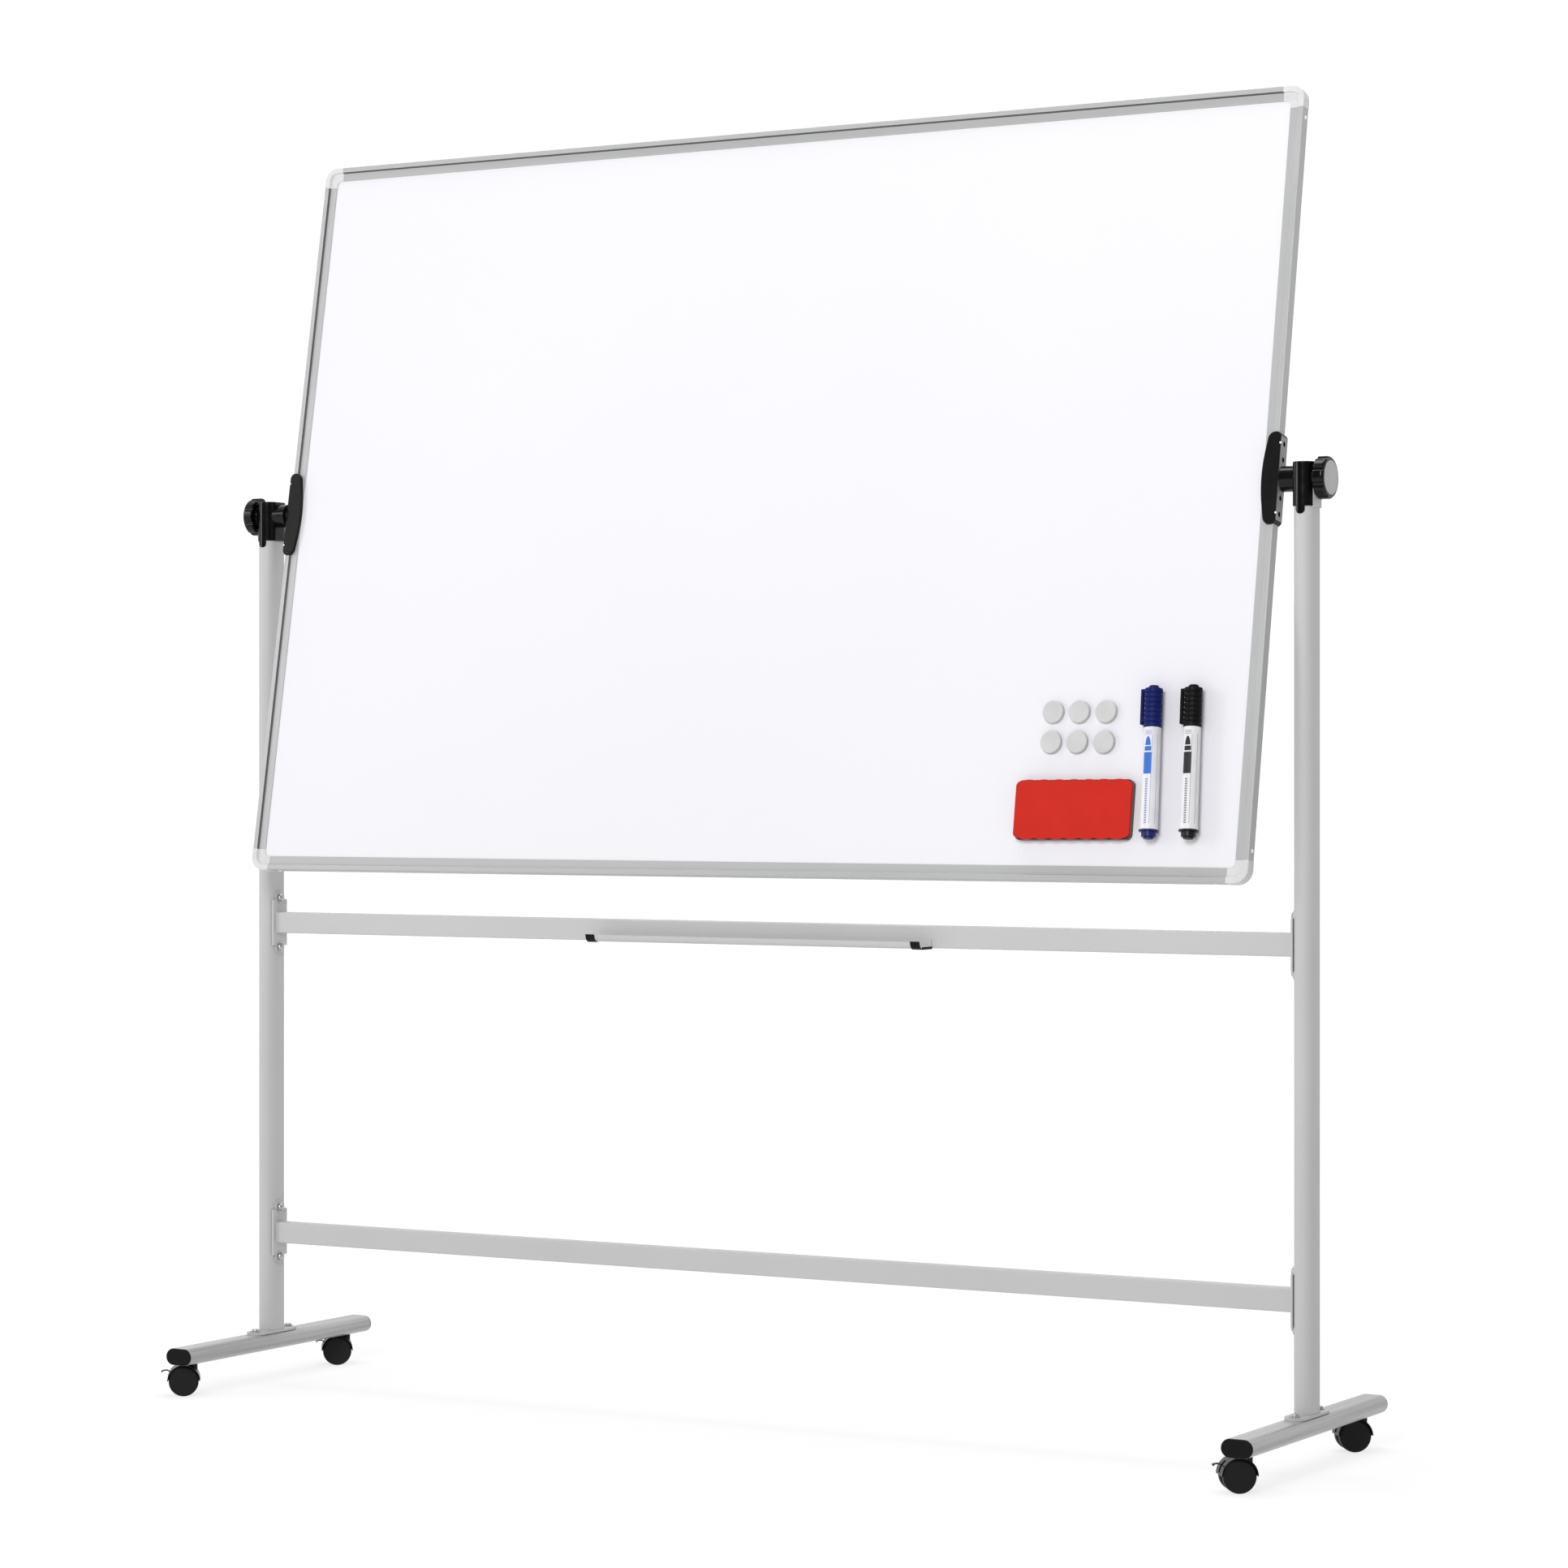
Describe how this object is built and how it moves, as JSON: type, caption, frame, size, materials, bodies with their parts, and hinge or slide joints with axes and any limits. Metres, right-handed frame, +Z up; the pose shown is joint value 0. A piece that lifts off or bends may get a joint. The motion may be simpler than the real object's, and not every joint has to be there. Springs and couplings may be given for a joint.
{
  "type": "rolling whiteboard",
  "caption": "Double-sided whiteboard in a slim frame that turns over between two posts on a wheeled stand, with crossbars, pen tray, clamping knobs, eraser, magnets and capped markers.",
  "frame": {"origin": "on the floor, midway between the two posts and in their plane", "axes": "+Z up, the longest extent; +Y towards the back of the stand, the shortest extent; +X along the board to the right of someone facing its front, which looks towards -Y"},
  "size_m": [1.9787, 0.5101, 2.0603],
  "materials": {
    "silver_lacquer": "silver grey lacquer, satin",
    "frame_aluminium": "anodised, satin",
    "white_steel_sheet": "white dry-wipe lacquer, semi-gloss",
    "board_core": "plain, hidden inside the board",
    "pale_grey_plastic": "moulded, fine grain",
    "black_plastic": "moulded, fine grain",
    "grey_plastic": "moulded, satin",
    "caster_hood": "moulded, satin",
    "caster_wheel": "moulded disc with a black tread",
    "zinc_steel": "zinc plated",
    "white_screw": "white painted heads",
    "magnet_plastic": "moulded, semi-gloss",
    "eraser_red": "moulded, satin",
    "eraser_felt": "dense felt",
    "marker_white": "moulded, pearl white",
    "marker_blue": "moulded, glossy",
    "marker_black": "moulded, glossy"
  },
  "bodies": {
    "stand": {"left_post": "silver_lacquer", "right_post": "silver_lacquer", "left_foot": "silver_lacquer", "right_foot": "silver_lacquer", "foot_end_caps": "black_plastic", "post_base_plates": "silver_lacquer", "stand_screws": "zinc_steel", "upper_crossbar": "silver_lacquer", "lower_crossbar": "silver_lacquer", "crossbar_end_plates": "silver_lacquer", "pen_tray": "silver_lacquer", "tray_end_caps": "black_plastic", "left_post_clamp": "black_plastic", "right_post_clamp": "black_plastic", "clamp_straps": "zinc_steel", "caster_stems": "zinc_steel"},
    "board": {"board_core": "board_core", "front_sheet": "white_steel_sheet", "back_sheet": "white_steel_sheet", "frame_top_rail": "frame_aluminium", "frame_bottom_rail": "frame_aluminium", "frame_left_rail": "frame_aluminium", "frame_right_rail": "frame_aluminium", "frame_corner_caps": "pale_grey_plastic", "frame_screws": "white_screw", "left_pivot_bracket": "black_plastic", "right_pivot_bracket": "black_plastic", "pivot_studs": "zinc_steel"},
    "left_hand_knob": {"left_knob": "black_plastic", "left_knob_cap": "grey_plastic"},
    "right_hand_knob": {"right_knob": "black_plastic", "right_knob_cap": "grey_plastic"},
    "front_left_caster": {"front_left_caster_yoke": "caster_hood"},
    "front_left_roller_a": {"front_left_wheel_a": "caster_wheel"},
    "front_left_roller_b": {"front_left_wheel_b": "caster_wheel"},
    "front_left_brake": {"front_left_brake_lever": "caster_hood"},
    "front_right_caster": {"front_right_caster_yoke": "caster_hood"},
    "front_right_roller_a": {"front_right_wheel_a": "caster_wheel"},
    "front_right_roller_b": {"front_right_wheel_b": "caster_wheel"},
    "front_right_brake": {"front_right_brake_lever": "caster_hood"},
    "back_left_caster": {"back_left_caster_yoke": "caster_hood"},
    "back_left_roller_a": {"back_left_wheel_a": "caster_wheel"},
    "back_left_roller_b": {"back_left_wheel_b": "caster_wheel"},
    "back_left_brake": {"back_left_brake_lever": "caster_hood"},
    "back_right_caster": {"back_right_caster_yoke": "caster_hood"},
    "back_right_roller_a": {"back_right_wheel_a": "caster_wheel"},
    "back_right_roller_b": {"back_right_wheel_b": "caster_wheel"},
    "back_right_brake": {"back_right_brake_lever": "caster_hood"},
    "eraser": {"eraser_shell": "eraser_red", "eraser_felt": "eraser_felt"},
    "upper_button_1": {"upper_magnet_1": "magnet_plastic"},
    "upper_button_2": {"upper_magnet_2": "magnet_plastic"},
    "upper_button_3": {"upper_magnet_3": "magnet_plastic"},
    "lower_button_1": {"lower_magnet_1": "magnet_plastic"},
    "lower_button_2": {"lower_magnet_2": "magnet_plastic"},
    "lower_button_3": {"lower_magnet_3": "magnet_plastic"},
    "blue_marker": {"blue_marker_barrel": "marker_white"},
    "blue_cap": {"blue_marker_cap": "marker_blue"},
    "black_marker": {"black_marker_barrel": "marker_white"},
    "black_cap": {"black_marker_cap": "marker_black"}
  },
  "joints": [
    {"name": "board_tilt", "type": "hinge", "parent": "stand", "child": "board", "pos_m": [0, 0, 1.462], "axis": [1, 0, 0], "continuous": true},
    {"name": "left_knob_turn", "type": "hinge", "parent": "board", "child": "left_hand_knob", "pos_m": [-0.975, 0, 1.462], "axis": [-1, 0, 0], "range_deg": [0, 270]},
    {"name": "right_knob_turn", "type": "hinge", "parent": "board", "child": "right_hand_knob", "pos_m": [0.975, 0, 1.462], "axis": [1, 0, 0], "range_deg": [0, 270]},
    {"name": "front_left_brake_press", "type": "hinge", "parent": "front_left_caster", "child": "front_left_brake", "pos_m": [-0.97056, -0.23175, 0.0365], "axis": [0.6018, -0.7986, 0], "range_deg": [0, 25]},
    {"name": "front_right_brake_press", "type": "hinge", "parent": "front_right_caster", "child": "front_right_brake", "pos_m": [0.92344, -0.23175, 0.0365], "axis": [0.6018, -0.7986, 0], "range_deg": [0, 25]},
    {"name": "back_left_brake_press", "type": "hinge", "parent": "back_left_caster", "child": "back_left_brake", "pos_m": [-0.97056, 0.19625, 0.0365], "axis": [0.6018, -0.7986, 0], "range_deg": [0, 25]},
    {"name": "back_right_brake_press", "type": "hinge", "parent": "back_right_caster", "child": "back_right_brake", "pos_m": [0.92344, 0.19625, 0.0365], "axis": [0.6018, -0.7986, 0], "range_deg": [0, 25]},
    {"name": "eraser_lift_off", "type": "slide", "parent": "board", "child": "eraser", "axis": [0, -0.9842, 0.1771], "range_m": [0, 0.05]},
    {"name": "upper_magnet_1_lift_off", "type": "slide", "parent": "board", "child": "upper_button_1", "axis": [0, -0.9842, 0.1771], "range_m": [0, 0.05]},
    {"name": "upper_magnet_2_lift_off", "type": "slide", "parent": "board", "child": "upper_button_2", "axis": [0, -0.9842, 0.1771], "range_m": [0, 0.05]},
    {"name": "upper_magnet_3_lift_off", "type": "slide", "parent": "board", "child": "upper_button_3", "axis": [0, -0.9842, 0.1771], "range_m": [0, 0.05]},
    {"name": "lower_magnet_1_lift_off", "type": "slide", "parent": "board", "child": "lower_button_1", "axis": [0, -0.9842, 0.1771], "range_m": [0, 0.05]},
    {"name": "lower_magnet_2_lift_off", "type": "slide", "parent": "board", "child": "lower_button_2", "axis": [0, -0.9842, 0.1771], "range_m": [0, 0.05]},
    {"name": "lower_magnet_3_lift_off", "type": "slide", "parent": "board", "child": "lower_button_3", "axis": [0, -0.9842, 0.1771], "range_m": [0, 0.05]},
    {"name": "blue_marker_lift_off", "type": "slide", "parent": "board", "child": "blue_marker", "axis": [0, -0.9842, 0.1771], "range_m": [0, 0.06]},
    {"name": "black_marker_lift_off", "type": "slide", "parent": "board", "child": "black_marker", "axis": [0, -0.9842, 0.1771], "range_m": [0, 0.06]},
    {"name": "blue_cap_pull", "type": "slide", "parent": "blue_marker", "child": "blue_cap", "axis": [-0.041, 0.1769, 0.9834], "range_m": [0, 0.045]},
    {"name": "black_cap_pull", "type": "slide", "parent": "black_marker", "child": "black_cap", "axis": [-0.041, 0.1769, 0.9834], "range_m": [0, 0.045]},
    {"name": "front_left_swivel", "type": "hinge", "parent": "stand", "child": "front_left_caster", "pos_m": [-0.947, -0.214, 0.04], "axis": [0, 0, 1], "continuous": true},
    {"name": "front_right_swivel", "type": "hinge", "parent": "stand", "child": "front_right_caster", "pos_m": [0.947, -0.214, 0.04], "axis": [0, 0, 1], "continuous": true},
    {"name": "back_left_swivel", "type": "hinge", "parent": "stand", "child": "back_left_caster", "pos_m": [-0.947, 0.214, 0.04], "axis": [0, 0, 1], "continuous": true},
    {"name": "back_right_swivel", "type": "hinge", "parent": "stand", "child": "back_right_caster", "pos_m": [0.947, 0.214, 0.04], "axis": [0, 0, 1], "continuous": true},
    {"name": "front_left_wheel_a_spin", "type": "hinge", "parent": "front_left_caster", "child": "front_left_roller_a", "pos_m": [-0.95938, -0.22333, 0.0245], "axis": [0.6018, -0.7986, 0], "continuous": true},
    {"name": "front_left_wheel_b_spin", "type": "hinge", "parent": "front_left_caster", "child": "front_left_roller_b", "pos_m": [-0.95938, -0.22333, 0.0245], "axis": [0.6018, -0.7986, 0], "continuous": true},
    {"name": "front_right_wheel_a_spin", "type": "hinge", "parent": "front_right_caster", "child": "front_right_roller_a", "pos_m": [0.93462, -0.22333, 0.0245], "axis": [0.6018, -0.7986, 0], "continuous": true},
    {"name": "front_right_wheel_b_spin", "type": "hinge", "parent": "front_right_caster", "child": "front_right_roller_b", "pos_m": [0.93462, -0.22333, 0.0245], "axis": [0.6018, -0.7986, 0], "continuous": true},
    {"name": "back_left_wheel_a_spin", "type": "hinge", "parent": "back_left_caster", "child": "back_left_roller_a", "pos_m": [-0.95938, 0.20467, 0.0245], "axis": [0.6018, -0.7986, 0], "continuous": true},
    {"name": "back_left_wheel_b_spin", "type": "hinge", "parent": "back_left_caster", "child": "back_left_roller_b", "pos_m": [-0.95938, 0.20467, 0.0245], "axis": [0.6018, -0.7986, 0], "continuous": true},
    {"name": "back_right_wheel_a_spin", "type": "hinge", "parent": "back_right_caster", "child": "back_right_roller_a", "pos_m": [0.93462, 0.20467, 0.0245], "axis": [0.6018, -0.7986, 0], "continuous": true},
    {"name": "back_right_wheel_b_spin", "type": "hinge", "parent": "back_right_caster", "child": "back_right_roller_b", "pos_m": [0.93462, 0.20467, 0.0245], "axis": [0.6018, -0.7986, 0], "continuous": true}
  ]
}
